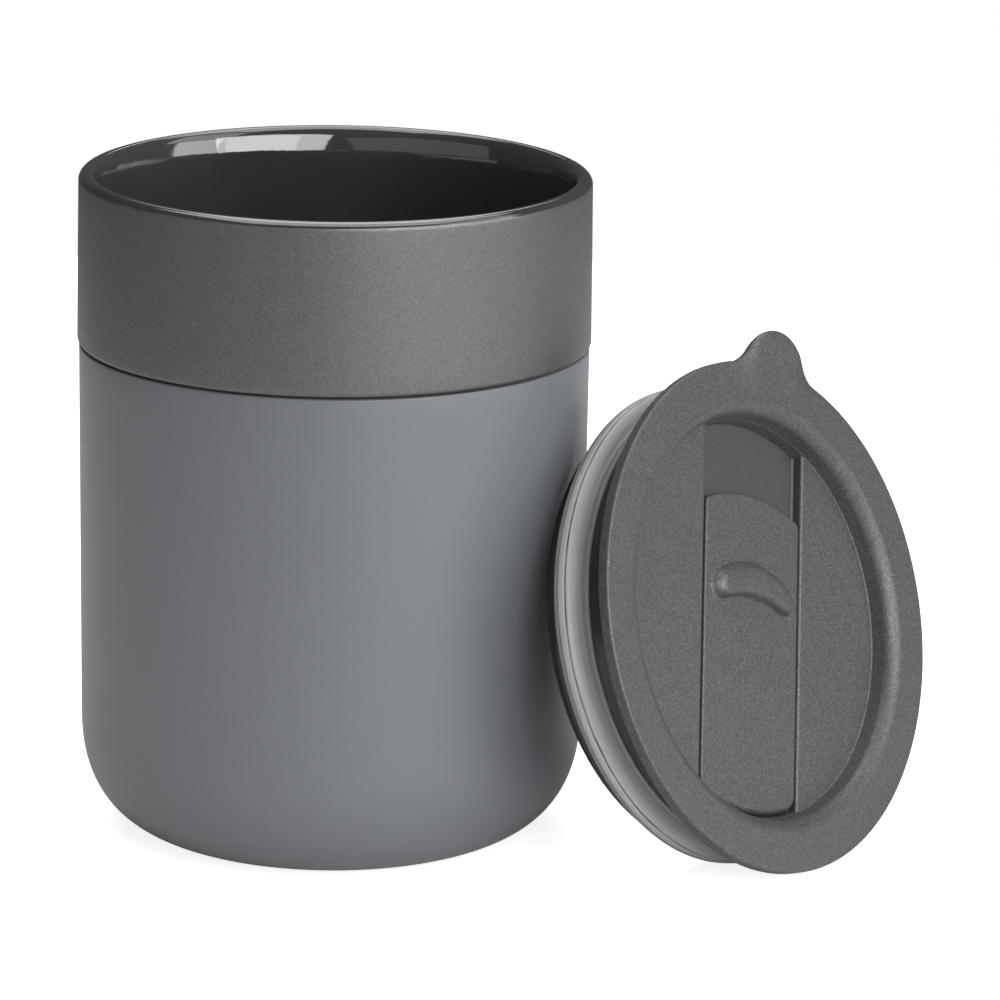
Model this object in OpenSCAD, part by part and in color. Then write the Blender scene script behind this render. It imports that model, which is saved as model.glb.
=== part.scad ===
// Ceramic travel mug with a silicone sleeve and a slide-open press-in lid.
// Millimetres. The origin is on the surface the mug stands on, on the mug's
// axis, and +Z is up. The lid is off the mug: it stands on its own edge beside
// the mug, on the +X side, and leans against the sleeve.

/* [Cup] */
// Height of the cup's rim above the surface it stands on
cup_h = 112.1; // [106:0.1:120]
// Outer radius of the bare ceramic band, just above the sleeve
band_r = 42.8; // [42.4:0.1:44]
// How much smaller the band's radius is at the rim
band_draft = 0.27; // [0:0.01:0.6]
// Inner radius of the straight mouth that the lid plugs into
mouth_r = 38.8; // [38:0.1:39.2]
// Height of the straight inner wall of the mouth
mouth_len = 17; // [14:0.5:18]
// Inner radius of the cup below the band, at its top
bowl_r = 37.3; // [36:0.1:38]
// Inner radius of the cup where its bottom corner begins
bowl_r_low = 36.6; // [35:0.1:37.5]
// Height of the cup's inner floor
bowl_floor_z = 6.4; // [5:0.1:9]
// Radius of the rounding on the outside of the rim
rim_out = 1.4; // [0.8:0.1:1.7]
// Width of the rounding on the inside of the rim
rim_in = 1.9; // [1:0.1:1.9]
// Height of the rounding on the inside of the rim
rim_in_h = 6; // [3:0.1:7]
// Radius of the rounding under the band, at the seam
band_round = 1.3; // [0.6:0.1:1.6]

/* [Sleeve] */
// Height of the sleeve's top edge
sleeve_h = 83.45; // [78:0.05:86]
// Outer radius of the sleeve at its top edge
sleeve_r = 42.5; // [42:0.1:43]
// Outer radius of the sleeve where its bottom corner begins
sleeve_r_low = 42.24; // [41.5:0.01:42.5]
// Wall of the sleeve
sleeve_t = 1.8; // [1.4:0.1:2]
// Width of the rounded bottom corner
corner_w = 18.2; // [14:0.1:20]
// Height of the rounded bottom corner
corner_h = 20.2; // [16:0.1:24]
// Squareness of the bottom corner: 2 is an ellipse, more is squarer
corner_p = 2.4; // [2:0.1:3]

/* [Lid] */
// Outer radius of the lid's flange
flange_r = 42.85; // [42.6:0.05:43.5]
// Thickness of the flange
flange_t = 2.05; // [1.9:0.05:2.6]
// Rounding of the flange's edge
flange_round = 0.4; // [0.2:0.1:0.8]
// Radius of the dish's flat floor
dish_r = 33.4; // [32:0.1:33.6]
// Radius of the dish's mouth, at the flange's top face
dish_top_r = 36.5; // [36.3:0.1:37.2]
// Depth of the dish below the flange's top face
dish_depth = 4.1; // [3.5:0.05:4.5]
// Width of the slider's channel in the dish floor
channel_w = 26; // [22:0.1:27]
// Depth of the channel below the dish floor
channel_depth = 2; // [1.6:0.1:2.4]
// Outer radius of the plug's neck and bottom collar
plug_r = 37.4; // [36.8:0.1:37.8]
// Inner radius of the hollow under the lid
plug_in_r = 34.3; // [33.8:0.1:34.4]
// Length of the plug below the flange
plug_len = 16.1; // [15.5:0.1:18]
// How far the finger tab stands out from the lid's axis
tab_reach = 48.8; // [47.5:0.1:51]
// Radius of the tab's round end
tab_r = 7.75; // [6:0.05:8.5]

/* [Seal ring] */
// Radius over the seal's lip
seal_r = 39.3; // [39:0.1:39.3]
// Radius of the groove's root, which the seal sits on
groove_r = 35.9; // [35.6:0.1:36.2]

/* [Slider] */
// Play between the slider and each side of its channel
slider_play = 0.5; // [0.2:0.05:0.6]
// How far the slider moves from closed to open
slider_travel = 11.5; // [8:0.1:11.5]
// Height of the thumb ridge above the slider
ridge_h = 1.7; // [1:0.1:2.2]
// Width of the drinking hole
sip_w = 14; // [8:0.5:16]
// Length of the drinking hole along the channel
sip_l = 7; // [5:0.5:7]

/* [Lid pose] */
// Distance of the lid's axis point from the mug's axis, along X
lid_x = 65.52; // [65.42:0.1:90]
// Distance of the lid's axis point from the mug's axis, along Y
lid_y = 31.93; // [31.93:0.01:40]
// How far the lid's face is tipped up from vertical
lid_tip = 17.49; // [17.49:0.01:17.49]
// Turn of the lid about the vertical, clockwise seen from above
lid_yaw = 0.33; // [0.1:0.01:0.4]
// Turn of the tab from straight up
tab_turn = 22.6; // [0:0.1:45]

/* [Hidden] */
$fn = 96;
eps = 0.01;

// cup and sleeve
fit_gap = 0.25;                       // room between the sleeve and the cup's side
foot_z = sleeve_t;                    // the cup's foot stands on the sleeve's base
recess_r = sleeve_r - sleeve_t - fit_gap;
recess_r_low = sleeve_r_low - sleeve_t - fit_gap;
seam_z = sleeve_h + 0.3;              // underside of the band
step_z = cup_h - rim_in_h - mouth_len;  // where the mouth's straight wall ends

// lid, in its own frame: z = 0 is the top of the plug's neck, +Z faces out, +Y is the tab
flange_z = 0.25;                      // underside of the flange
face_z = flange_z + flange_t;         // the lid's outer face
dish_z = face_z - dish_depth;
chan_z = dish_z - channel_depth;
floor_t = 1.8;
pan_t = 1.6;
seal_top = -6.05;
seal_bot = -12.1;
slide_end_r = dish_r - 0.6;
boss_w = 6;
boss_l = 4;
slot_gap = 0.3;
sip_y = -26;
ret_top = chan_z - pan_t - 0.1;
ret_t = 1.5;
slide_short = 0.4;                    // how far the open slider stops short of the channel's end
shoulder_r = 2.74;                    // rounding from the face into the dish
tab_t = 1.9;
tab_tilt = 7;
tab_fillet = 5.4;
// height of the lid's axis point when the flange's edge stands on the surface
lid_z = (flange_r - flange_round) * cos(lid_tip) + flange_round - (flange_z + flange_round) * sin(lid_tip);

// points of an arc about [cx, cz]
function arc(cx, cz, r, a0, a1, n) =
    [for (i = [0:n]) let (a = a0 + (a1 - a0) * i / n) [cx + r * cos(a), cz + r * sin(a)]];

// a corner that starts upright at [r0, z0 + h] and ends flat at [r0 - w, z0]
function corner(r0, z0, w, h, p, n) =
    [for (i = [0:n]) let (a = 90 * i / n)
        [r0 - w + w * pow(max(cos(a), 0), 2 / p), z0 + h - h * pow(max(sin(a), 0), 2 / p)]];

// the same points from last to first
function back(v) = [for (i = [len(v) - 1:-1:0]) v[i]];

// an S-shaped step between two radii
function step(r0, z0, r1, z1, n) =
    [for (i = [0:n]) let (u = i / n, s = (1 - cos(180 * u)) / 2) [r0 + (r1 - r0) * s, z0 + (z1 - z0) * u]];

// outline of the thumb ridge, drawn in by the given amount all round
function ridge_w(u, in) = max(2.95 * sqrt(max(1 - pow(abs(u), 2.4), 0)) - in * sqrt(max(1 - pow(abs(u), 6), 0)), 0);
function crescent(in) = concat(
    [for (i = [0:20]) let (u = (i - 10) / 10, a = 90 - (43.5 - 2 * in) * u, w = ridge_w(u, in)) [(14.6 + w) * cos(a), (14.6 + w) * sin(a) - 8.2]],
    [for (i = [19:-1:1]) let (u = (i - 10) / 10, a = 90 - (43.5 - 2 * in) * u, w = ridge_w(u, in)) [(14.6 - w) * cos(a), (14.6 - w) * sin(a) - 8.2]]);

// a flat shape with straight sides and round ends, w long along X and l wide
module slot2d(w, l) {
    union() {
        translate([-(w - l) / 2, -l / 2]) square([w - l, l]);
        for (s = [-1, 1]) translate([s * (w - l) / 2, 0]) circle(d = l);
    }
}

// puts a piece of the lid, drawn in the lid's own frame, where the lid leans
module on_lid() {
    translate([lid_x, lid_y, lid_z])
        rotate([0, 90 - lid_tip, -lid_yaw])
            rotate([0, 0, 90 - tab_turn])
                children();
}

// ---------------------------------------------------------------- cup
// One fired piece: bare band on top, recessed and sleeved below.
module cup() {
    outer = concat(
        [[0, foot_z + 0.8], [13, foot_z + 0.8], [14, foot_z]],
        back(corner(recess_r_low, foot_z, corner_w - sleeve_t + 0.5, corner_h - sleeve_t, corner_p, 12)),
        [[recess_r, seam_z - 1.2]],
        arc(recess_r + 0.5, seam_z - 0.5, 0.5, 180, 90, 3),
        arc(band_r - band_round, seam_z + band_round, band_round, -90, 0, 6),
        arc(band_r - band_draft - rim_out, cup_h - rim_out, rim_out, 0, 90, 7));
    inner = concat(
        [for (i = [0:10]) let (a = 90 + 9 * i) [mouth_r + rim_in * (1 + cos(a)), cup_h - rim_in_h * (1 - sin(a))]],
        step(mouth_r, step_z, bowl_r, step_z - 13, 8),
        corner(bowl_r_low, bowl_floor_z, 17, 19, 2.2, 12),
        [[0, bowl_floor_z]]);
    color([0.38, 0.38, 0.38])
        rotate_extrude($fn = 128) polygon(concat(outer, inner));
}

// ---------------------------------------------------------------- sleeve
// Moulded silicone boot: side wall, rounded corner and a closed flat base.
module sleeve() {
    outer = concat(
        [[0, 0]],
        back(corner(sleeve_r_low, 0, corner_w, corner_h, corner_p, 14)),
        arc(sleeve_r - 0.5, sleeve_h - 0.5, 0.5, 0, 90, 4));
    inner = concat(
        arc(sleeve_r - sleeve_t + 0.2, sleeve_h - 0.2, 0.2, 90, 180, 2),
        corner(sleeve_r_low - sleeve_t, sleeve_t, corner_w - sleeve_t + 0.2, corner_h - sleeve_t, corner_p, 14),
        [[0, sleeve_t]]);
    color([0.45, 0.47, 0.49])
        rotate_extrude($fn = 128) polygon(concat(outer, inner));
}

// ---------------------------------------------------------------- lid body
// Section of flange, dish, floor and plug wall, without channel and tab.
module lid_section() {
    polygon(concat(
        [[0, dish_z], [dish_r - 0.2, dish_z], [dish_r, dish_z + 0.2]],
        arc(dish_top_r, face_z - shoulder_r, shoulder_r, 161.5, 90, 8),
        arc(flange_r - flange_round, face_z - flange_round, flange_round, 90, 0, 5),
        arc(flange_r - flange_round, flange_z + flange_round, flange_round, 0, -90, 5),
        [[plug_r + 0.4, flange_z], [plug_r, flange_z - 0.4], [plug_r, seal_top], [groove_r, seal_top],
         [groove_r, seal_bot - 0.05], [plug_r - 0.2, seal_bot - 0.05], [plug_r, seal_bot - 0.35]],
        arc(plug_r - 2.2, -plug_len + 2.2, 2.2, 0, -80, 6),
        [[plug_in_r, -plug_len], [plug_in_r, dish_z - floor_t], [0, dish_z - floor_t]]));
}

// Outline of the finger tab, seen from outside: a round end that runs into the
// flange's edge with a hollow curve on each side.
module tab_shape() {
    cy = tab_reach - tab_r;
    fy = (pow(flange_r + tab_fillet, 2) - pow(tab_r + tab_fillet, 2) + cy * cy) / (2 * cy);
    fx = sqrt(pow(flange_r + tab_fillet, 2) - fy * fy);
    a_tip = atan2(fy - cy, fx);
    a_rim = atan2(fy, fx);
    polygon(concat(
        arc(fx, fy, tab_fillet, 180 + a_rim, 180 + a_tip, 8),
        arc(0, cy, tab_r, a_tip, 180 - a_tip, 16),
        arc(-fx, fy, tab_fillet, -a_tip, -a_rim, 8),
        [[-8, 38], [8, 38]]));
}

module lid_body() {
    color([0.37, 0.37, 0.37])
        on_lid()
            difference() {
                union() {
                    rotate_extrude($fn = 128) lid_section();
                    // pan that carries the channel's floor
                    intersection() {
                        translate([0, 0, chan_z - pan_t]) cylinder(r = plug_in_r + 1, h = pan_t + channel_depth - 0.2);
                        translate([-channel_w / 2 - 1.6, -40, chan_z - pan_t]) cube([channel_w + 3.2, 80, pan_t + channel_depth - 0.2]);
                    }
                    // tab, tipped up a little for the finger
                    translate([0, 37.5, face_z - 0.02 - tab_t]) rotate([tab_tilt, 0, 0]) translate([0, -37.5, 0])
                        linear_extrude(tab_t) tab_shape();
                }
                // channel
                intersection() {
                    translate([0, 0, chan_z]) cylinder(r = dish_r, h = channel_depth + 0.31);
                    translate([-channel_w / 2, -40, chan_z]) cube([channel_w, 80, channel_depth + 0.31]);
                }
                // drinking hole
                translate([0, sip_y, chan_z - pan_t - 1]) linear_extrude(pan_t + 2) slot2d(sip_w, sip_l);
                // slot for the slider's boss
                translate([-boss_w / 2 - slot_gap, -boss_l / 2 - slot_gap, chan_z - pan_t - 1])
                    cube([boss_w + 2 * slot_gap, boss_l + slider_travel + 2 * slot_gap, pan_t + 2]);
            }
}

// ---------------------------------------------------------------- seal ring
// Silicone ring in the plug's groove; its lip presses on the cup's mouth.
module lid_seal() {
    color([0.66, 0.66, 0.65])
        on_lid()
            rotate_extrude($fn = 128)
                polygon([[groove_r + 0.05, seal_top - 0.05], [plug_r + 0.25, seal_top - 0.05],
                    [plug_r + 0.42, -6.45], [plug_r + 0.65, -7.05], [seal_r - 1, -7.85],
                    [seal_r - 0.25, -8.7], [seal_r - 0.02, -9.1], [seal_r, -9.4], [seal_r, -10.1],
                    [seal_r - 0.2, -10.8], [seal_r - 0.55, -11.5], [seal_r - 1.1, -11.95],
                    [seal_r - 1.6, seal_bot], [groove_r + 0.05, seal_bot]]);
}

// ---------------------------------------------------------------- slider
// Plate that fills the channel, with round ends, a thumb ridge and a boss below.
module slider() {
    top = dish_z - 0.05;
    t = channel_depth - 0.2;
    hw = channel_w / 2 - slider_play;
    color([0.38, 0.38, 0.38])
        on_lid()
            difference() {
                union() {
                    intersection() {
                        translate([0, 0, top - t]) cylinder(r = slide_end_r, h = t);
                        translate([0, -slider_travel - slide_short, top - t]) cylinder(r = slide_end_r, h = t);
                        translate([-hw, -40, top - t]) cube([2 * hw, 80, t]);
                    }
                    // thumb ridge: a crescent that bulges towards the tab, in two steps
                    translate([0, 0, top - 0.2]) linear_extrude(ridge_h * 0.6 + 0.2) polygon(crescent(0));
                    translate([0, 0, top - 0.1]) linear_extrude(ridge_h + 0.1) polygon(crescent(0.7));
                    // boss through the slot, with a barb on each side
                    translate([-boss_w / 2, -boss_l / 2, ret_top - ret_t - 0.7]) cube([boss_w, boss_l, top - t - ret_top + ret_t + 0.8]);
                    translate([-boss_w / 2 - 0.5, -boss_l / 2, ret_top - ret_t - 0.7]) cube([boss_w + 1, boss_l, 0.7]);
                }
                // seat of the gasket
                translate([0, sip_y, top - t - 1]) linear_extrude(1.8) slot2d(18.4, 9.8);
            }
}

// ---------------------------------------------------------------- slider gasket
// Silicone pad under the slider that covers the drinking hole.
module slider_gasket() {
    color([0.6, 0.6, 0.6])
        on_lid()
            translate([0, sip_y, chan_z + 0.05])
                linear_extrude(0.1 + 0.8) slot2d(18.2, 9.6);
}

// ---------------------------------------------------------------- slider retainer
// Plate snapped on the boss under the channel, which holds the slider down.
module slider_retainer() {
    color([0.3, 0.3, 0.3])
        on_lid()
            translate([0, 0, ret_top - ret_t])
                linear_extrude(ret_t) difference() {
                    union() {
                        square([15, 6], center = true);
                        square([11, 9], center = true);
                    }
                    square([boss_w, boss_l], center = true);
                }
}

cup();
sleeve();
lid_body();
lid_seal();
slider();
slider_gasket();
slider_retainer();
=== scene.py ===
import math
import random

import bmesh
import bpy
from mathutils import Matrix, Vector


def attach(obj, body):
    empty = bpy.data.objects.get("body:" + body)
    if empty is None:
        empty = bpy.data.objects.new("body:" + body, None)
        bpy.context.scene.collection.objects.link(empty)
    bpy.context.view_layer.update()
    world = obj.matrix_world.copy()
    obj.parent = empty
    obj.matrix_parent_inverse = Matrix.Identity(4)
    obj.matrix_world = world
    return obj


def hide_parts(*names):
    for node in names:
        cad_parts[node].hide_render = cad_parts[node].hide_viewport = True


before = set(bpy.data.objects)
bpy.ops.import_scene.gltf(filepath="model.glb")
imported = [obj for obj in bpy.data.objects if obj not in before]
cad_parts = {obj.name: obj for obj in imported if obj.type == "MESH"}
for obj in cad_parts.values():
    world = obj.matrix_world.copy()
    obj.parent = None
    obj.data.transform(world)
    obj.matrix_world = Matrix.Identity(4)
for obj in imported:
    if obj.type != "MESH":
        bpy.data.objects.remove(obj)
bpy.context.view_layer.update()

MM = 0.001
pi = math.pi

# ------------------------------------------------------------------ numbers shared with the construction (mm)
CUP_H, BAND_R, BAND_DRAFT = 112.1, 42.8, 0.27
MOUTH_R, BOWL_R, BOWL_R_LOW, BOWL_FLOOR = 38.8, 37.3, 36.6, 6.4
RIM_OUT, RIM_IN, RIM_IN_H = 1.4, 1.9, 6.0
SLEEVE_H, SLEEVE_R, SLEEVE_R_LOW, SLEEVE_T = 83.45, 42.5, 42.24, 1.8
CORNER_W, CORNER_H, CORNER_P = 18.2, 20.2, 2.4
SEAM_Z, STEP_Z = SLEEVE_H + 0.3, CUP_H - RIM_IN_H - 17
RECESS_R, RECESS_R_LOW = SLEEVE_R - SLEEVE_T - 0.25, SLEEVE_R_LOW - SLEEVE_T - 0.25
FLANGE_R, FLANGE_Z, FLANGE_T, FLANGE_RND = 42.85, 0.25, 2.05, 0.4
FACE_Z = FLANGE_Z + FLANGE_T
DISH_R, DISH_TOP_R, DISH_DEPTH, SHOULDER_R = 33.4, 36.5, 4.1, 2.74
CHAN_W, CHAN_DEPTH, SLIDER_PLAY = 26.0, 2.0, 0.5
PLUG_R, PLUG_IN_R, PLUG_LEN = 37.4, 34.3, 16.1
GROOVE_R = 35.9
DISH_Z = FACE_Z - DISH_DEPTH
CHAN_Z = DISH_Z - CHAN_DEPTH
TRAVEL = 11.5
TIP, TURN, YAW = math.radians(17.49), math.radians(22.6), math.radians(0.33)
LID_Z = (FLANGE_R - FLANGE_RND) * math.cos(TIP) + FLANGE_RND - (FLANGE_Z + FLANGE_RND) * math.sin(TIP)
LID = (Matrix.Translation(Vector((65.52, 31.93, LID_Z)) * MM) @ Matrix.Rotation(-YAW, 4, "Z")
       @ Matrix.Rotation(pi / 2 - TIP, 4, "Y") @ Matrix.Rotation(pi / 2 - TURN, 4, "Z") @ Matrix.Scale(MM, 4))
UPRIGHT = Matrix.Scale(MM, 4)

# ------------------------------------------------------------------ camera, matched to the photograph
F_PX, PITCH, DIST, ROLL, PAN, TILT = 5509.294, 0.2505202, 924.6629, -0.008866949, 0.03025970, -0.003948805
HEADING = math.radians(38.75)


def turned(v, axis, angle):
    return Matrix.Rotation(angle, 3, axis) @ v


back = Vector((0, -math.cos(PITCH), math.sin(PITCH)))
eye = Vector((0, 0, 60)) + back * DIST
look, right = -back, Vector((1, 0, 0))
up = right.cross(look)
look, right = turned(look, up, -PAN), turned(right, up, -PAN)
look = turned(look, right, TILT)
up = right.cross(look)
right, up = turned(right, look, ROLL), turned(up, look, ROLL)
spin = Matrix.Rotation(HEADING, 3, "Z")
eye, look, right, up = (spin @ v for v in (eye, look, right, up))
cam_data = bpy.data.cameras.new("camera")
cam_data.sensor_width = 36.0
cam_data.sensor_fit = "HORIZONTAL"
cam_data.lens = F_PX * 36.0 / 1000.0
cam_data.clip_start, cam_data.clip_end = 0.05, 20.0
camera = bpy.data.objects.new("camera", cam_data)
m = Matrix((right, up, -look)).transposed().to_4x4()
m.translation = eye * MM
camera.matrix_world = m
bpy.context.scene.collection.objects.link(camera)
bpy.context.scene.camera = camera


def seen(direction):
    """A direction in the camera's heading (x right, y away, z up) in the row's frame."""
    return spin @ Vector(direction)


# ------------------------------------------------------------------ mesh tools
def arc(cx, cz, r, a0, a1, n):
    return [(cx + r * math.cos(math.radians(a0 + (a1 - a0) * i / n)),
             cz + r * math.sin(math.radians(a0 + (a1 - a0) * i / n))) for i in range(n + 1)]


def corner(r0, z0, w, h, p, n):
    out = []
    for i in range(n + 1):
        a = pi / 2 * i / n
        out.append((r0 - w + w * max(math.cos(a), 0.0) ** (2 / p), z0 + h - h * max(math.sin(a), 0.0) ** (2 / p)))
    return out


def s_step(r0, z0, r1, z1, n):
    return [(r0 + (r1 - r0) * (1 - math.cos(pi * i / n)) / 2, z0 + (z1 - z0) * i / n) for i in range(n + 1)]


def fill(points, longest):
    """Adds points so that no straight stretch of the profile is longer than longest."""
    out = [points[0]]
    for a, b in zip(points, points[1:]):
        d = math.hypot(b[0] - a[0], b[1] - a[1])
        if d < 1e-6:
            continue
        n = max(1, math.ceil(d / longest))
        out += [(a[0] + (b[0] - a[0]) * k / n, a[1] + (b[1] - a[1]) * k / n) for k in range(1, n + 1)]
    return out


def make(name, verts, faces, matrix, smooth=True):
    mesh = bpy.data.meshes.new(name)
    mesh.from_pydata([matrix @ Vector(v) for v in verts], [], faces)
    mesh.update()
    if smooth:
        mesh.polygons.foreach_set("use_smooth", [True] * len(mesh.polygons))
    obj = bpy.data.objects.new(name, mesh)
    bpy.context.scene.collection.objects.link(obj)
    return obj


def revolve_data(profile, segments, shift=None):
    """Spins a profile of (r, z) about Z. Points on the axis become one vertex. shift(r, z, angle, i) moves a point."""
    verts, rows = [], []
    for i, (r, z) in enumerate(profile):
        if r < 1e-6:
            rows.append([len(verts)] * segments)
            verts.append((0.0, 0.0, z))
            continue
        row = []
        for k in range(segments):
            a = 2 * pi * k / segments
            rr, zz = shift(r, z, a, i) if shift else (r, z)
            row.append(len(verts))
            verts.append((rr * math.cos(a), rr * math.sin(a), zz))
        rows.append(row)
    faces = []
    for i in range(len(rows) - 1):
        for k in range(segments):
            q = [rows[i][k], rows[i][(k + 1) % segments], rows[i + 1][(k + 1) % segments], rows[i + 1][k]]
            f = [v for n, v in enumerate(q) if v not in q[:n]]
            if len(f) >= 3:
                faces.append(f)
    return verts, faces


def revolve(name, profile, matrix, segments=256, shift=None, closed=False):
    pts = list(profile) + ([profile[0]] if closed else [])
    if closed:
        verts, faces = revolve_data(pts, segments, shift)
        n = segments
        last = len(verts) - n
        faces = [[v - last if v >= last else v for v in f] for f in faces]
        verts = verts[:last]
    else:
        verts, faces = revolve_data(pts, segments, shift)
    obj = make(name, verts, faces, matrix)
    bm = bmesh.new()
    bm.from_mesh(obj.data)
    bmesh.ops.recalc_face_normals(bm, faces=bm.faces)
    bm.to_mesh(obj.data)
    bm.free()
    return obj


def sharp_by_angle(obj, degrees):
    obj.data.set_sharp_from_angle(angle=math.radians(degrees))


def weighted(obj):
    mod = obj.modifiers.new("weighted_normal", "WEIGHTED_NORMAL")
    mod.keep_sharp = True
    mod.weight = 80


def hash01(n):
    """A fixed scatter of numbers from 0 to 1."""
    x = math.sin(n * 12.9898 + 4.1) * 43758.5453
    return x - math.floor(x)


def wobble(angle, seed, octaves):
    """A smooth closed wave round a ring, from about -1 to 1."""
    total = amount = 0.0
    for k, (freq, amp) in enumerate(octaves):
        total += amp * math.sin(freq * angle + 2 * pi * hash01(seed * 17.3 + k * 3.7))
        amount += amp
    return total / amount


# ------------------------------------------------------------------ cup
outer = ([(0, SLEEVE_T + 0.8), (13, SLEEVE_T + 0.8), (14, SLEEVE_T)]
         + corner(RECESS_R_LOW, SLEEVE_T, CORNER_W - SLEEVE_T + 0.5, CORNER_H - SLEEVE_T, CORNER_P, 28)[::-1]
         + [(RECESS_R, SEAM_Z - 1.2)]
         + arc(RECESS_R + 0.5, SEAM_Z - 0.5, 0.5, 180, 90, 4)
         + arc(BAND_R - 0.8, SEAM_Z + 0.8, 0.8, -90, 0, 10)
         + arc(BAND_R - BAND_DRAFT - RIM_OUT, CUP_H - RIM_OUT, RIM_OUT, 0, 90, 14))
inner = ([(MOUTH_R + RIM_IN * (1 + math.cos(math.radians(90 + 4.5 * k))), CUP_H - RIM_IN_H * (1 - math.sin(math.radians(90 + 4.5 * k))))
          for k in range(21)]
         + s_step(MOUTH_R, STEP_Z, BOWL_R, STEP_Z - 13, 14)
         + corner(BOWL_R_LOW, BOWL_FLOOR, 17, 19, 2.2, 30)
         + [(0, BOWL_FLOOR)])
profile = fill(outer, 3.0) + fill(inner, 3.0)
cup = revolve("cup_shell", profile, UPRIGHT, 288)

# ------------------------------------------------------------------ sleeve
outer = ([(0, 0)] + corner(SLEEVE_R_LOW, 0, CORNER_W, CORNER_H, CORNER_P, 34)[::-1]
         + arc(SLEEVE_R - 0.28, SLEEVE_H - 0.28, 0.28, 0, 90, 6))
inner = (arc(SLEEVE_R - SLEEVE_T + 0.2, SLEEVE_H - 0.2, 0.2, 90, 180, 3)
         + corner(SLEEVE_R_LOW - SLEEVE_T, SLEEVE_T, CORNER_W - SLEEVE_T + 0.2, CORNER_H - SLEEVE_T, CORNER_P, 24)
         + [(0, SLEEVE_T)])
profile = fill(outer, 3.0) + fill(inner, 4.0)
sleeve = revolve("sleeve_boot", profile, UPRIGHT, 288)

# ------------------------------------------------------------------ lid body
TAB_C, TAB_R, TAB_FILLET = 41.05, 7.75, 5.4      # centre and radius of the tab's round end, and of the hollow beside it
TAB_SLOPE, TAB_ROOT = 0.12278, 37.5              # how the tab rises, and from where
TAB_RND = 0.98                                   # rounding of the tab's edge, fuller than the flange's


def build_outline():
    """Half outline of the tab from its tip to where it runs into the flange, as (x, y)."""
    d1, d2 = FLANGE_R + TAB_FILLET, TAB_R + TAB_FILLET
    y = (d1 ** 2 - d2 ** 2 + TAB_C ** 2) / (2 * TAB_C)
    x = math.sqrt(d1 ** 2 - y ** 2)
    ang_tab = math.atan2(x, y - TAB_C)            # from +Y towards +X, at the tab's centre
    ang_fl = math.atan2(x, y)                     # the same at the lid's axis
    tip = [(TAB_R * math.sin(ang_tab * k / 30), TAB_C + TAB_R * math.cos(ang_tab * k / 30)) for k in range(31)]
    a0, a1 = 1.5 * pi - ang_tab, 1.5 * pi - ang_fl
    fil = [(x + TAB_FILLET * math.cos(a0 + (a1 - a0) * k / 16), y + TAB_FILLET * math.sin(a0 + (a1 - a0) * k / 16)) for k in range(1, 17)]
    return tip + fil, ang_fl


HALF, END_ANGLE = build_outline()


def outline_ring(segments_rest):
    """Closed list of (unit x, unit y, radius) round the lid, dense round the tab. The tab is at +Y."""
    pts = []
    half = [(math.atan2(x, y), math.hypot(x, y)) for x, y in HALF]
    right_side = half                                   # angle grows clockwise from +Y
    left_side = [(-a, r) for a, r in half[1:]][::-1]
    rest = [(END_ANGLE + (2 * pi - 2 * END_ANGLE) * k / segments_rest, FLANGE_R) for k in range(1, segments_rest)]
    ring = left_side + right_side + rest
    for a, r in ring:
        pts.append((math.sin(a), math.cos(a), r, a))
    return pts


RING = outline_ring(260)


def soft01(t):
    t = min(max(t, 0.0), 1.0)
    return t * t * (3 - 2 * t)


def lid_section():
    """Profile from the dish floor's edge over the flange and plug to the hollow's inner edge, with how far each point
    follows the outline: 0 stays round, 1 moves out by the tab's whole reach."""
    foot = [(DISH_R - 0.24, DISH_Z), (DISH_R, DISH_Z), (DISH_R + 0.08, DISH_Z + 0.24)]
    up_ = [(DISH_R - 0.9, DISH_Z, 0)]
    for k in range(6):
        u = k / 5
        up_.append(tuple(foot[0][i] * (1 - u) ** 2 + foot[1][i] * 2 * u * (1 - u) + foot[2][i] * u * u for i in (0, 1)) + (0,))
    up_ += [(r, z, 0) for r, z in arc(DISH_TOP_R, FACE_Z - SHOULDER_R, SHOULDER_R, 161.5, 90, 18)]
    steps = [37.2, 38.0, 38.7, 39.3, 39.9, 40.5, 41.1, 41.7, 42.2]
    spread = [(r, soft01((r - 38.0) / (FLANGE_R - FLANGE_RND - 38.0))) for r in steps]
    up_ += [(r, FACE_Z, f) for r, f in spread]
    up_ += [(k / 9 * 90, FACE_Z, 2) for k in range(9, -1, -1)]
    up_ += [(-k / 9 * 90, FLANGE_Z, 3) for k in range(10)]
    up_ += [(r, FLANGE_Z, f) for r, f in spread[::-1] if r > 38.3]
    up_ += [(r, z, 0) for r, z in [(PLUG_R + 0.45, FLANGE_Z), (PLUG_R + 0.15, FLANGE_Z - 0.12), (PLUG_R, FLANGE_Z - 0.45), (PLUG_R, -1.2),
                                   (PLUG_R, -3.2), (PLUG_R, -5.7), (PLUG_R - 0.06, -5.95), (PLUG_R - 0.25, -6.05), (GROOVE_R + 0.1, -6.05),
                                   (GROOVE_R, -6.15), (GROOVE_R, -9.0), (GROOVE_R, -12.05), (GROOVE_R + 0.1, -12.15), (PLUG_R - 0.45, -12.15),
                                   (PLUG_R - 0.12, -12.22), (PLUG_R, -12.5), (PLUG_R, -13.2)]]
    up_ += [(r, z, 0) for r, z in arc(PLUG_R - 2.2, -PLUG_LEN + 2.2, 2.2, 0, -84, 12)]
    up_ += [(r, z, 0) for r, z in [(PLUG_IN_R + 0.45, -PLUG_LEN), (PLUG_IN_R + 0.12, -PLUG_LEN + 0.1), (PLUG_IN_R, -PLUG_LEN + 0.45),
                                   (PLUG_IN_R, -12.0), (PLUG_IN_R, -8.0), (PLUG_IN_R, DISH_Z - 1.8 - 0.9)]]
    up_ += [(r, z, 0) for r, z in arc(PLUG_IN_R - 0.7, DISH_Z - 1.8 - 0.7, 0.7, 0, 90, 5)]
    return up_


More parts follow.
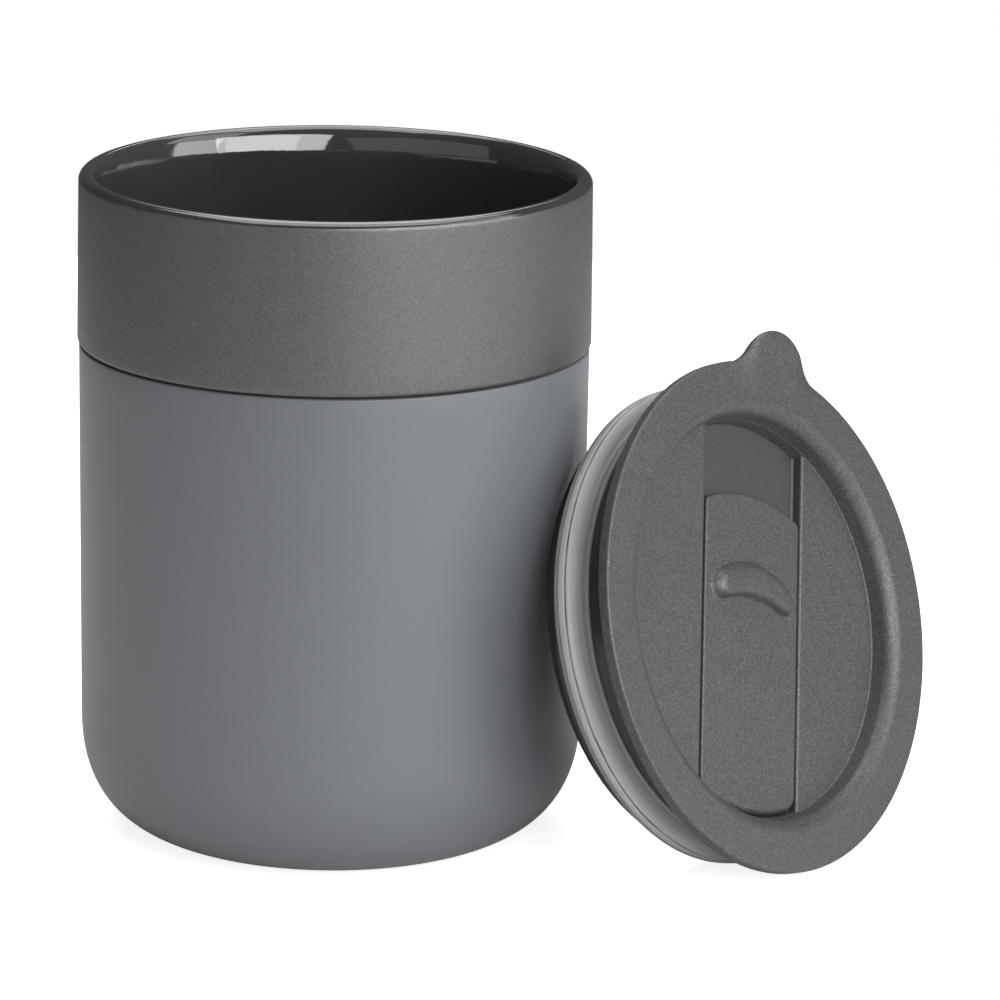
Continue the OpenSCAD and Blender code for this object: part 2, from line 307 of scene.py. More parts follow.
def tab_lift(x, y):
    """How far the tab has turned up at a place of the flange."""
    t = y - TAB_ROOT
    rise = t if t > 1.5 else (t + 1.5) ** 2 / 6 if t > -1.5 else 0.0
    return TAB_SLOPE * rise * (1 - soft01((abs(x) - 5.0) / 6.5))


def build_lid():
    section = lid_section()
    verts, faces = [], []
    rows = []
    for r, z, follow in section:
        row = []
        for sx, sy, rim, a in RING:
            q = FLANGE_RND + (TAB_RND - FLANGE_RND) * soft01((rim - FLANGE_R - 0.2) / 2.6)
            if follow > 1:                 # r is an angle round the edge here
                rr = rim - q + q * math.cos(math.radians(r))
                zz = z + q * (math.sin(math.radians(r)) + (-1 if follow == 2 else 1))
                zz += tab_lift(rr * sx, rr * sy)
            else:
                rr = r + (rim - FLANGE_R - (q - FLANGE_RND)) * follow
                zz = z
                if z > FLANGE_Z - 0.01 and r > 37.3:
                    zz += tab_lift(rr * sx, rr * sy) * soft01((r - 36.8) / 1.6)
            row.append(len(verts))
            verts.append((rr * sx, rr * sy, zz))
        rows.append(row)
    n = len(RING)
    for i in range(len(rows) - 1):
        for k in range(n):
            faces.append([rows[i][k], rows[i][(k + 1) % n], rows[i + 1][(k + 1) % n], rows[i + 1][k]])
    faces.append(rows[0][::-1])
    faces.append(rows[-1])
    obj = make("lid_shell", verts, faces, Matrix.Identity(4))
    bm = bmesh.new()
    bm.from_mesh(obj.data)
    bmesh.ops.recalc_face_normals(bm, faces=bm.faces)
    bm.to_mesh(obj.data)
    bm.free()
    return obj


def prism(name, outline, z0, z1):
    """A straight-sided solid over a flat outline of (x, y)."""
    n = len(outline)
    verts = [(x, y, z0) for x, y in outline] + [(x, y, z1) for x, y in outline]
    faces = [list(range(n))[::-1], list(range(n, 2 * n))]
    faces += [[k, (k + 1) % n, (k + 1) % n + n, k + n] for k in range(n)]
    obj = make(name, verts, faces, Matrix.Identity(4), smooth=False)
    bm = bmesh.new()
    bm.from_mesh(obj.data)
    bmesh.ops.recalc_face_normals(bm, faces=bm.faces)
    bm.to_mesh(obj.data)
    bm.free()
    return obj


def round_ended(w, l, cy, n=16):
    """Outline w wide along X and l along Y with round ends."""
    r = l / 2
    out = []
    for k in range(n + 1):
        a = -pi / 2 + pi * k / n
        out.append(((w - l) / 2 + r * math.cos(a), cy + r * math.sin(a)))
    for k in range(n + 1):
        a = pi / 2 + pi * k / n
        out.append((-(w - l) / 2 + r * math.cos(a), cy + r * math.sin(a)))
    return out


def round_rect(x0, x1, y0, y1, r, n=5):
    out = []
    for cx, cy, a0 in ((x1 - r, y0 + r, -90), (x1 - r, y1 - r, 0), (x0 + r, y1 - r, 90), (x0 + r, y0 + r, 180)):
        out += [(cx + r * math.cos(math.radians(a0 + 90 * k / n)), cy + r * math.sin(math.radians(a0 + 90 * k / n))) for k in range(n + 1)]
    return out


def barrel(hw, radius, shift_top=0.0, n=40):
    """Outline |x| < hw inside a circle of that radius; shift_top lowers the upper arc."""
    a = math.asin(hw / radius)
    top = [(radius * math.sin(a * (1 - 2 * k / n)), radius * math.cos(a * (1 - 2 * k / n)) - shift_top) for k in range(n + 1)]
    bot = [(radius * math.sin(a * (2 * k / n - 1)), -radius * math.cos(a * (2 * k / n - 1))) for k in range(n + 1)]
    return top + bot


def boolean(obj, other, operation):
    mod = obj.modifiers.new("cut", "BOOLEAN")
    mod.operation = operation
    mod.solver = "EXACT"
    mod.object = other
    deps = bpy.context.evaluated_depsgraph_get()
    mesh = bpy.data.meshes.new_from_object(obj.evaluated_get(deps))
    obj.modifiers.clear()
    old = obj.data
    obj.data = mesh
    bpy.data.meshes.remove(old)
    bpy.data.objects.remove(other, do_unlink=True)


lid = build_lid()
pan = prism("pan", barrel(CHAN_W / 2 + 1.6, PLUG_IN_R + 0.35), CHAN_Z - 1.6, DISH_Z - 1.2)
boolean(lid, pan, "UNION")


def channel_cutter():
    """The channel with a small radius along its foot, a rounded shoulder along each top edge and end walls that lean out a little."""
    hw, r, q, top = CHAN_W / 2, 0.5, 0.25, DISH_Z + 0.9
    end_low, end_high = DISH_R - 0.5, DISH_R - 0.02
    cols = []
    for k in range(8):
        a = pi / 2 * k / 7
        cols.append((-(hw + r) + r * math.sin(a), DISH_Z - r + r * math.cos(a)))
    for k in range(5):
        a = pi / 2 * k / 4
        cols.append((-hw + 0.25 * (CHAN_DEPTH - r) / CHAN_DEPTH * (k > 0) + q - q * math.cos(a), CHAN_Z + q - q * math.sin(a)))
    x_in = -cols[-1][0]
    half = len(cols)
    cols += [(-x_in + 2 * x_in * k / 40, CHAN_Z) for k in range(1, 40)]
    cols += [(-x, z) for x, z in cols[:half][::-1]]
    verts, faces = [], []
    for x, z in cols:
        up = min(max((z - CHAN_Z) / CHAN_DEPTH, 0.0), 1.0)
        y0 = math.sqrt((end_low + (end_high - end_low) * up) ** 2 - x * x)
        y1 = math.sqrt(end_high ** 2 - x * x)
        verts += [(x, -y0, z), (x, y0, z), (x, y1, DISH_Z + 0.02), (x, y1, top), (x, -y1, top), (x, -y1, DISH_Z + 0.02)]
    for k in range(len(cols) - 1):
        b = 6 * k
        for i in range(6):
            j = (i + 1) % 6
            faces.append([b + i, b + j, b + 6 + j, b + 6 + i])
    faces += [list(range(6)), [len(verts) - 1 - i for i in range(6)]]
    obj = make("channel", verts, faces, Matrix.Identity(4), smooth=False)
    tidy(obj)
    return obj


def tidy(obj):
    bm = bmesh.new()
    bm.from_mesh(obj.data)
    bmesh.ops.remove_doubles(bm, verts=bm.verts, dist=1e-5)
    bmesh.ops.recalc_face_normals(bm, faces=bm.faces)
    bm.to_mesh(obj.data)
    bm.free()


boolean(lid, channel_cutter(), "DIFFERENCE")
boolean(lid, prism("hole", round_ended(14, 7, -26, 20), CHAN_Z - 4, CHAN_Z + 1), "DIFFERENCE")
boolean(lid, prism("slot", round_rect(-3.3, 3.3, -2.3, 13.8, 0.4), CHAN_Z - 4, CHAN_Z + 1), "DIFFERENCE")
tidy(lid)
lid.name = lid.data.name = "lid_moulding"


def finish_lid_piece(obj, angle=32):
    obj.data.transform(LID)
    obj.data.polygons.foreach_set("use_smooth", [True] * len(obj.data.polygons))
    sharp_by_angle(obj, angle)
    weighted(obj)


# ------------------------------------------------------------------ seal ring
SEAL = [  # (r, z, part): c covered, s smooth, u upper edge of the parting line, d its bottom, l its lower edge
    (GROOVE_R + 0.05, -6.15, "c"), (GROOVE_R + 0.15, -6.1, "c"), (PLUG_R - 0.3, -6.08, "c"), (37.56, -6.09, "s"), (37.66, -6.13, "s"),
    (37.71, -6.22, "s"), (37.69, -6.42, "s"), (37.62, -6.65, "s"), (37.58, -6.9, "s"), (37.60, -7.15, "s"), (37.70, -7.39, "s"), (37.92, -7.59, "s"),
    (38.2, -7.73, "s"), (38.55, -7.85, "s"), (38.9, -7.98, "s"), (39.25, -8.15, "s"), (39.55, -8.35, "s"), (39.78, -8.55, "s"), (39.91, -8.7, "s"),
    (39.97, -8.81, "s"), (39.97, -8.89, "u"), (39.9, -8.95, "u"), (39.76, -8.98, "u"), (39.68, -9.04, "d"), (39.68, -9.13, "d"), (39.8, -9.18, "l"),
    (39.98, -9.21, "l"), (40.06, -9.29, "l"), (40.09, -9.44, "s"), (40.09, -9.85, "s"), (40.08, -10.25, "s"), (40.04, -10.4, "s"),
    (39.93, -10.48, "s"), (39.88, -10.58, "s"), (39.9, -10.72, "s"), (39.97, -10.82, "s"), (39.98, -10.98, "s"), (39.9, -11.22, "s"),
    (39.72, -11.48, "s"), (39.45, -11.7, "s"), (39.1, -11.87, "s"), (38.6, -12.0, "s"), (38.0, -12.08, "s"), (37.5, -12.1, "c"),
    (GROOVE_R + 0.4, -12.1, "c"), (GROOVE_R + 0.15, -12.1, "c"), (GROOVE_R + 0.05, -12.0, "c"), (GROOVE_R + 0.05, -9.3, "c")]
SEAL_STEPS = 1080


def ragged(angle, seed, steps, low, high):
    """Uneven short stretches round a ring, each at a height of its own, joined by slopes."""
    t = (angle / (2 * pi) * steps) % steps
    k = int(t)
    f = soft01((t - k) * 3.0 - 1.0)
    a, b = hash01(k * 1.93 + seed), hash01(((k + 1) % steps) * 1.93 + seed)
    return low + (high - low) * (a * (1 - f) + b * f)


def seal_shift(r, z, a, i):
    """The parting line runs unevenly round the lip: its edges step in and out where the moulding flash was torn off."""
    part = SEAL[i % len(SEAL)][2]
    if part not in "udl":
        return r, z
    drift = 0.07 * wobble(a, 3, ((5, 1), (9, 0.8), (17, 0.5)))
    if part == "d":
        return r, z + drift
    if part == "u":
        torn = ragged(a, 0.4, 73, 0.0, 0.17) ** 1.0 + ragged(a, 7.1, 300, 0.0, 0.05)
        tooth = 0.22 * max(0.0, 1 - abs(((a / (2 * pi) * 19) % 1.0) - hash01(int(a / (2 * pi) * 19) * 3.3) * 0.8 - 0.1) * 42)
        return r, z + drift + torn - tooth * 0.6
    return r, z + drift - ragged(a, 2.6, 51, 0.0, 0.05)


seal = revolve("seal_ring", [(r, z) for r, z, part in SEAL], Matrix.Identity(4), SEAL_STEPS, seal_shift, closed=True)


# ------------------------------------------------------------------ slider
SL_TOP, SL_BOT, SL_HW, SL_R = DISH_Z - 0.05, CHAN_Z + 0.15, CHAN_W / 2 - SLIDER_PLAY, DISH_R - 0.6
SL_SHORT = 0.4
RIDGE_H, RIDGE_ARC, RIDGE_C, RIDGE_SPAN, RIDGE_HALF = 1.7, 14.6, 8.2, math.radians(43.5), 3.0


def ridge(x, y):
    """Height of the thumb ridge: a full crescent with a domed top, a steep hollow side and a rounder outer side."""
    d = math.hypot(x, y + RIDGE_C)
    a = math.atan2(x, y + RIDGE_C)
    if y + RIDGE_C < 0:
        return 0.0
    past = max(abs(a) * RIDGE_ARC - (RIDGE_ARC * RIDGE_SPAN - RIDGE_HALF), 0.0) / RIDGE_HALF
    v = d - RIDGE_ARC
    v /= RIDGE_HALF - (1.45 * min(abs(a / RIDGE_SPAN), 1.0) ** 2 if v < 0 else 0.0)
    w = math.hypot(past, v)                          # 1 on the outline, which is round at both ends
    if w >= 1:
        return 0.0
    lean = v / w if w > 1e-6 else 0.0
    return RIDGE_H * (1 - w ** (5.0 - 0.8 * lean - 1.6 * past / w if w > 1e-6 else 5.0))


def build_slider():
    r_side, r_top, r_bot = 0.3, 0.35, 1.0
    c_top, c_bot = 1.0, 1.8
    inset = [0.0, 0.02, 0.07, 0.14, 0.22, 0.3]
    wide = [0.0, 0.02, 0.07, 0.14, 0.22, 0.3, 0.5, 0.7, 0.95, 1.25, 1.6, 1.9]
    nx_mid = 130
    xs = [-SL_HW + d for d in wide] + [-SL_HW + 1.9 + (2 * SL_HW - 3.8) * k / nx_mid for k in range(1, nx_mid)] + [SL_HW - d for d in wide[::-1]]
    lo_in = [0.0, 0.04, 0.12, 0.25, 0.4, 0.58, 0.78, 1.0]

    def drop(d, r):
        return 0.0 if d >= r else r - math.sqrt(max(r * r - (r - d) ** 2, 0.0))

    rows_y = []
    ny_mid = 260
    for x in xs:
        side = SL_HW - abs(x)
        y0, y1 = -math.sqrt(SL_R ** 2 - x * x) + drop(side, c_bot), math.sqrt(SL_R ** 2 - x * x) - TRAVEL - SL_SHORT - drop(side, c_top)
        ys = ([y0 + d for d in lo_in] + [y0 + 1.0 + (y1 - 0.3 - y0 - 1.0) * k / ny_mid for k in range(1, ny_mid)] + [y1 - d for d in inset[::-1]])
        rows_y.append((y0, y1, ys))
    nx, ny = len(xs), len(rows_y[0][2])
    verts = []
    for x, (y0, y1, ys) in zip(xs, rows_y):
        for y in ys:
            z = SL_TOP + ridge(x, y)
            z -= max(drop(SL_HW - abs(x), r_side), drop(y - y0, r_bot), drop(y1 - y, r_top))
            verts.append((x, y, z))
    base = len(verts)
    for x, (y0, y1, ys) in zip(xs, rows_y):
        for y in ys:
            z = SL_BOT + 0.5 * max(drop(SL_HW - abs(x), 0.2), drop(y - y0, 0.2), drop(y1 - y, 0.2))
            verts.append((x, y, z))
    faces = []
    for i in range(nx - 1):
        for j in range(ny - 1):
            q = [i * ny + j, (i + 1) * ny + j, (i + 1) * ny + j + 1, i * ny + j + 1]
            faces.append(q)
    # underside: its inner part is one flat face, with the rounded strip round it in quads
    k0, k1, j0, j1 = 5, nx - 6, 6, ny - 6
    for i in range(nx - 1):
        for j in range(ny - 1):
            if k0 <= i < k1 and j0 <= j < j1:
                continue
            q = [i * ny + j, i * ny + j + 1, (i + 1) * ny + j + 1, (i + 1) * ny + j]
            faces.append([base + v for v in q])
    ring = ([(i, j0) for i in range(k0, k1)] + [(k1, j) for j in range(j0, j1)]
            + [(i, j1) for i in range(k1, k0, -1)] + [(k0, j) for j in range(j1, j0, -1)])
    faces.append([base + i * ny + j for i, j in ring][::-1])
    edge = ([(i, 0) for i in range(nx - 1)] + [(nx - 1, j) for j in range(ny - 1)]
            + [(i, ny - 1) for i in range(nx - 1, 0, -1)] + [(0, j) for j in range(ny - 1, 0, -1)])
    for k in range(len(edge)):
        a, b = edge[k], edge[(k + 1) % len(edge)]
        va, vb = a[0] * ny + a[1], b[0] * ny + b[1]
        faces.append([va, base + va, base + vb, vb])
    obj = make("slider_plate", verts, faces, Matrix.Identity(4))
    tidy_normals(obj)
    return obj


def tidy_normals(obj):
    bm = bmesh.new()
    bm.from_mesh(obj.data)
    unused = [v for v in bm.verts if not v.link_faces]
    bmesh.ops.delete(bm, geom=unused, context="VERTS")
    bmesh.ops.recalc_face_normals(bm, faces=bm.faces)
    bm.to_mesh(obj.data)
    bm.free()


def loft(name, sections):
    """A closed solid through flat outlines [(points, z), ...] that all have the same number of points."""
    verts, faces = [], []
    n = len(sections[0][0])
    for pts, z in sections:
        verts += [(x, y, z) for x, y in pts]
    for s in range(len(sections) - 1):
        for k in range(n):
            faces.append([s * n + k, s * n + (k + 1) % n, (s + 1) * n + (k + 1) % n, (s + 1) * n + k])
    faces.append(list(range(n))[::-1])
    faces.append(list(range((len(sections) - 1) * n, len(sections) * n)))
    obj = make(name, verts, faces, Matrix.Identity(4))
    tidy_normals(obj)
    return obj


slider = build_slider()
RET_TOP = CHAN_Z - 1.6 - 0.1
RET_BOT = RET_TOP - 1.5
boss = loft("boss", [(round_rect(-2.7, 2.7, -1.7, 1.7, 0.3), RET_BOT - 0.7), (round_rect(-3.05, 3.05, -1.95, 1.95, 0.4), RET_BOT - 0.55),
                     (round_rect(-3.5, 3.5, -2.0, 2.0, 0.4), RET_BOT - 0.12), (round_rect(-3.5, 3.5, -2.0, 2.0, 0.4), RET_BOT - 0.04),
                     (round_rect(-3.0, 3.0, -2.0, 2.0, 0.4), RET_BOT - 0.02), (round_rect(-3.0, 3.0, -2.0, 2.0, 0.4), SL_BOT + 0.6)])
boolean(slider, boss, "UNION")
boolean(slider, prism("seat", round_ended(18.4, 9.8, -26, 20), SL_BOT - 1, SL_BOT + 0.8), "DIFFERENCE")
slider.name = slider.data.name = "slider_plate"

# ------------------------------------------------------------------ gasket and retainer


def pad_sections(w, l, cy, z0, z1, r):
    out = []
    for k in range(4):
        a = pi / 2 * k / 3
        d = r * (1 - math.sin(a))
        out.append((round_ended(w - 2 * d, l - 2 * d, cy, 24), z0 + r * (1 - math.cos(a))))
    for k in range(4):
        a = pi / 2 * (3 - k) / 3
        d = r * (1 - math.sin(a))
        out.append((round_ended(w - 2 * d, l - 2 * d, cy, 24), z1 - r * (1 - math.cos(a))))
    return out


gasket = loft("gasket_pad", pad_sections(18.2, 9.6, -26, CHAN_Z + 0.05, CHAN_Z + 0.95, 0.18))


def cross(grow, n=4):
    """Outline of the retainer plate: a wide bar over a narrower, deeper one, with rounded corners."""
    a, b, c, d, r = 7.5 - grow, 3.0 - grow, 5.5 - grow, 4.5 - grow, 0.5
    pts = []
    for sx, sy in ((1, 1), (-1, 1), (-1, -1), (1, -1)):
        quarter = []
        for k in range(n + 1):
            t = pi / 2 * k / n
            quarter.append((a - r + r * math.cos(t), b - r + r * math.sin(t)))
        quarter.append((c, b))
        for k in range(n + 1):
            t = pi / 2 * k / n
            quarter.append((c - r + r * math.cos(t), d - r + r * math.sin(t)))
        if sx * sy < 0:
            quarter = quarter[::-1]
        pts += [(sx * x, sy * y) for x, y in quarter]
    return pts


retainer = loft("retainer_clip", [(cross(0.22), RET_BOT), (cross(0.07), RET_BOT + 0.07), (cross(0.0), RET_BOT + 0.25), (cross(0.0), RET_TOP - 0.25),
                                  (cross(0.07), RET_TOP - 0.07), (cross(0.22), RET_TOP)])
boolean(retainer, prism("window", round_rect(-3.02, 3.02, -2.02, 2.02, 0.35), RET_BOT - 1, RET_TOP + 1), "DIFFERENCE")
retainer.name = retainer.data.name = "retainer_clip"

for piece, angle in ((lid, 32), (slider, 40), (gasket, 50), (retainer, 40)):
    finish_lid_piece(piece, angle)
seal.data.transform(LID)
for v in seal.data.vertices:          # the soft lip is pressed flat where the lid stands on it
    v.co.z = max(v.co.z, 0.00004)
sharp_by_angle(seal, 75)
sharp_by_angle(cup, 60)
sharp_by_angle(sleeve, 60)


# ------------------------------------------------------------------ material tools
class Tree:
    """Short hand for building a material's nodes."""

    def __init__(self, name):
        self.mat = bpy.data.materials.new(name)
        self.mat.use_nodes = True
        self.t = self.mat.node_tree
        self.t.nodes.clear()
        self.out = self.t.nodes.new("ShaderNodeOutputMaterial")
        self.coord = self.t.nodes.new("ShaderNodeTexCoord").outputs["Object"]

    def node(self, kind, **values):
        n = self.t.nodes.new(kind)
        for k, v in values.items():
            setattr(n, k, v)
        return n

    def put(self, socket, value):
        if hasattr(value, "is_output") or isinstance(value, bpy.types.NodeSocket):
            self.t.links.new(value, socket)
        else:
            socket.default_value = value

    def math(self, op, a, b=0.0, c=0.0, clamp=False):
        n = self.node("ShaderNodeMath", operation=op, use_clamp=clamp)
        for i, v in enumerate((a, b, c)):
            if i < len(n.inputs):
                self.put(n.inputs[i], v)
        return n.outputs[0]

    def moved(self, scale=(1, 1, 1), offset=(0, 0, 0)):
        n = self.node("ShaderNodeMapping")
        self.put(n.inputs["Vector"], self.coord)
        n.inputs["Scale"].default_value = scale
        n.inputs["Location"].default_value = offset
        return n.outputs[0]

    def noise(self, scale, detail=2.0, rough=0.5, vector=None, out="Fac"):
        n = self.node("ShaderNodeTexNoise", noise_dimensions="3D")
        self.put(n.inputs["Vector"], vector or self.coord)
        n.inputs["Scale"].default_value = scale
        n.inputs["Detail"].default_value = detail
        n.inputs["Roughness"].default_value = rough
        return n.outputs[out]

    def cells(self, scale, out="Color", vector=None, randomness=1.0):
        n = self.node("ShaderNodeTexVoronoi", feature="F1", voronoi_dimensions="3D")
        self.put(n.inputs["Vector"], vector or self.coord)
        n.inputs["Scale"].default_value = scale
        n.inputs["Randomness"].default_value = randomness
        return n.outputs[out]

    def ramp(self, fac, stops, interpolation="LINEAR"):
        n = self.node("ShaderNodeValToRGB")
        n.color_ramp.interpolation = interpolation
        while len(n.color_ramp.elements) < len(stops):
            n.color_ramp.elements.new(0.5)
        for e, (pos, col) in zip(n.color_ramp.elements, stops):
            e.position = pos
            e.color = (*col, 1) if len(col) == 3 else col
        self.put(n.inputs[0], fac)
        return n.outputs[0]

    def range(self, v, a, b, c, d, clamp=True, smooth=False):
        n = self.node("ShaderNodeMapRange", clamp=clamp, interpolation_type="SMOOTHSTEP" if smooth else "LINEAR")
        for i, x in enumerate((v, a, b, c, d)):
            self.put(n.inputs[i], x)
        return n.outputs[0]

    def mix(self, fac, a, b):
        n = self.node("ShaderNodeMix", data_type="RGBA", blend_type="MIX")
        self.put(n.inputs[0], fac)
        self.put(n.inputs[6], a if not isinstance(a, tuple) else (*a, 1) if len(a) == 3 else a)
        self.put(n.inputs[7], b if not isinstance(b, tuple) else (*b, 1) if len(b) == 3 else b)
        return n.outputs[2]

    def times(self, colour, fac):
        n = self.node("ShaderNodeMix", data_type="RGBA", blend_type="MULTIPLY")
        n.inputs[0].default_value = 1.0
        self.put(n.inputs[6], colour if not isinstance(colour, tuple) else (*colour, 1))
        grey = self.node("ShaderNodeCombineColor")
        for i in range(3):
            self.put(grey.inputs[i], fac)
        self.put(n.inputs[7], grey.outputs[0])
        return n.outputs[2]

    def value(self, colour):
        n = self.node("ShaderNodeRGBToBW")
        self.put(n.inputs[0], colour)
        return n.outputs[0]

    def bump(self, height, distance, strength=1.0, normal=None):
        n = self.node("ShaderNodeBump")
        n.inputs["Strength"].default_value = strength
        n.inputs["Distance"].default_value = distance
        self.put(n.inputs["Height"], height)
        if normal is not None:
            self.put(n.inputs["Normal"], normal)
        return n.outputs[0]

    def shader(self, **inputs):
        n = self.node("ShaderNodeBsdfPrincipled")
        for k, v in inputs.items():
            key = k.replace("_", " ")
            self.put(n.inputs[key], v)
        return n

    def lid_place(self):
        """Height above the lid's own zero and distance from its axis, both in mm."""
        n = self.node("ShaderNodeVectorMath", operation="SUBTRACT")
        self.put(n.inputs[0], self.coord)
        n.inputs[1].default_value = LID.translation
        dot = self.node("ShaderNodeVectorMath", operation="DOT_PRODUCT")
        self.put(dot.inputs[0], n.outputs[0])
        dot.inputs[1].default_value = (LID.to_3x3() @ Vector((0, 0, 1))).normalized()
        far = self.node("ShaderNodeVectorMath", operation="DOT_PRODUCT")
        self.put(far.inputs[0], n.outputs[0])
        self.put(far.inputs[1], n.outputs[0])
        z = dot.outputs["Value"]
        r = self.math("SQRT", self.math("SUBTRACT", far.outputs["Value"], self.math("MULTIPLY", z, z)))
        return self.math("MULTIPLY", z, 1000.0), self.math("MULTIPLY", r, 1000.0)

    def surface(self, socket):
        self.t.links.new(socket, self.out.inputs["Surface"])
        return self.mat


def grey(v, warm=0.0):
    return (v * (1 + warm), v, v * (1 - warm))


def flecks(t, scale, spread):
    """Fine metal flecks: each cell a little lighter or darker, over a second, finer layer. About 1 on average."""
    cell = t.cells(scale)
    sep = t.node("ShaderNodeSeparateColor")
    t.put(sep.inputs[0], cell)
    a = t.math("POWER", sep.outputs[0], 1.6)
    fine = t.math("MULTIPLY_ADD", a, spread * 2.2, 1 - spread * 0.85)
    sep2 = t.node("ShaderNodeSeparateColor")
    t.put(sep2.inputs[0], t.cells(scale * 1.9))
    finer = t.math("MULTIPLY_ADD", sep2.outputs[0], spread * 0.9, 1 - spread * 0.45)
    return t.math("MULTIPLY", fine, finer), sep.outputs[1], cell


# ------------------------------------------------------------------ cup: glaze inside and over the rim, metallic paint on the band, bare body under the sleeve
def cup_material():
    t = Tree("fired_cup")
    sep = t.node("ShaderNodeSeparateXYZ")
    t.put(sep.inputs[0], t.coord)
    x, y, z = sep.outputs
    r = t.math("SQRT", t.math("ADD", t.math("MULTIPLY", x, x), t.math("MULTIPLY", y, y)))
    # paint starts below the rim, along a line that wavers a little
    waver = t.noise(70, 2, 0.5)
    edge = t.math("MULTIPLY_ADD", waver, 0.0005, (CUP_H - 1.12) * MM)
    below = t.range(t.math("SUBTRACT", edge, z), -0.00006, 0.00008, 0.0, 1.0)
    outside = t.math("GREATER_THAN", r, (BAND_R - 1.2) * MM)
    band = t.math("MULTIPLY", below, outside)
    hidden = t.math("LESS_THAN", z, (SEAM_Z + 0.25) * MM)
    inner = t.math("LESS_THAN", r, (BOWL_R + 1.75) * MM)
    in_bowl = t.math("MULTIPLY", inner, t.math("GREATER_THAN", z, (BOWL_FLOOR - 0.5) * MM))
    body = t.math("MULTIPLY", hidden, t.math("SUBTRACT", 1.0, in_bowl))
    # glaze
    pool = t.noise(38, 3, 0.55)
    glaze_c = t.mix(t.range(pool, 0.35, 0.7, 0, 1), (0.0250, 0.0236, 0.0240), (0.0330, 0.0312, 0.0317))
    speck = t.range(t.cells(900, "Distance"), 0.0, 0.16, 1.35, 1.0)
    glaze_c = t.times(glaze_c, speck)
    glaze_h = t.math("ADD", t.math("MULTIPLY", t.noise(85, 2, 0.5), 1.0), t.math("MULTIPLY", t.noise(420, 2, 0.5), 0.12))
    glaze_n = t.bump(glaze_h, 0.00022, 0.55)
    glaze = t.shader(Base_Color=glaze_c, Roughness=t.range(pool, 0.3, 0.7, 0.045, 0.075), IOR=1.83, Normal=glaze_n)
    # metallic paint
    f, odd, cell = flecks(t, 4600, 0.14)
    cloud = t.range(t.noise(26, 3, 0.55), 0.3, 0.7, 0.975, 1.025)
    paint_c = t.times(t.times((0.114, 0.1123, 0.113), f), cloud)
    orange = t.noise(1500, 2, 0.5)
    paint_n = t.bump(t.math("ADD", t.math("MULTIPLY", orange, 0.6), t.math("MULTIPLY", t.noise(5200, 1, 0.5), 0.4)), 0.00006, 0.5)
    paint = t.shader(Base_Color=paint_c, Metallic=0.62, Roughness=t.range(odd, 0, 1, 0.38, 0.50), Normal=paint_n)
    # unglazed fired body below the seam, hidden by the sleeve until the cup is lifted out
    grit = t.noise(900, 4, 0.65)
    clay_c = t.times((0.040, 0.039, 0.039), t.range(grit, 0.3, 0.7, 0.86, 1.14))
    clay_c = t.times(clay_c, t.range(t.noise(22, 3, 0.6), 0.3, 0.7, 0.9, 1.08))
    clay_n = t.bump(t.math("ADD", grit, t.math("MULTIPLY", t.noise(180, 2, 0.5), 1.4)), 0.00008, 0.7)
    clay = t.shader(Base_Color=clay_c, Roughness=t.range(grit, 0.3, 0.7, 0.62, 0.8), Normal=clay_n)
    m1 = t.node("ShaderNodeMixShader")
    t.put(m1.inputs[0], band)
    t.t.links.new(glaze.outputs[0], m1.inputs[1])
    t.t.links.new(paint.outputs[0], m1.inputs[2])
    m2 = t.node("ShaderNodeMixShader")
    t.put(m2.inputs[0], body)
    t.t.links.new(m1.outputs[0], m2.inputs[1])
    t.t.links.new(clay.outputs[0], m2.inputs[2])
    return t.surface(m2.outputs[0])


def painted_plastic():
    """Lid's outside: the same metallic paint on plastic, with coarser sparkle."""
    t = Tree("metallic_lid_paint")
    f, odd, cell = flecks(t, 4200, 0.27)
    cloud = t.range(t.noise(34, 3, 0.55), 0.3, 0.7, 0.975, 1.025)
    c = t.times(t.times((0.0795, 0.0787, 0.0791), f), cloud)
    h = t.math("ADD", t.math("MULTIPLY", t.noise(3100, 2, 0.6), 0.7), t.math("MULTIPLY", t.noise(1300, 2, 0.5), 0.22))
    n = t.bump(h, 0.00007, 0.6)
    s = t.shader(Base_Color=c, Metallic=0.5, Roughness=t.range(odd, 0, 1, 0.40, 0.58), Normal=n)
    return t.surface(s.outputs[0])


def smooth_plastic():
    """Bare dark plastic of the plug."""
    t = Tree("bare_plug_plastic")
    v = t.noise(60, 3, 0.5)
    c = t.times((0.0105, 0.0103, 0.0105), t.range(v, 0.3, 0.7, 0.9, 1.1))
    n = t.bump(t.noise(240, 2, 0.5), 0.00005, 0.4)
    s = t.shader(Base_Color=c, Roughness=t.range(v, 0.3, 0.7, 0.2, 0.3), IOR=1.49, Normal=n)
    return t.surface(s.outputs[0])


def satin_floor():
    """Channel floor: the same kind of paint, darker and with finer flecks than the face."""
    t = Tree("channel_paint")
    f, odd, cell = flecks(t, 6400, 0.14)
    c = t.times((0.0640, 0.0632, 0.0636), f)
    n = t.bump(t.noise(2600, 2, 0.5), 0.00004, 0.4)
    s = t.shader(Base_Color=c, Metallic=0.5, Roughness=t.range(odd, 0, 1, 0.46, 0.56), Normal=n)
    return t.surface(s.outputs[0])


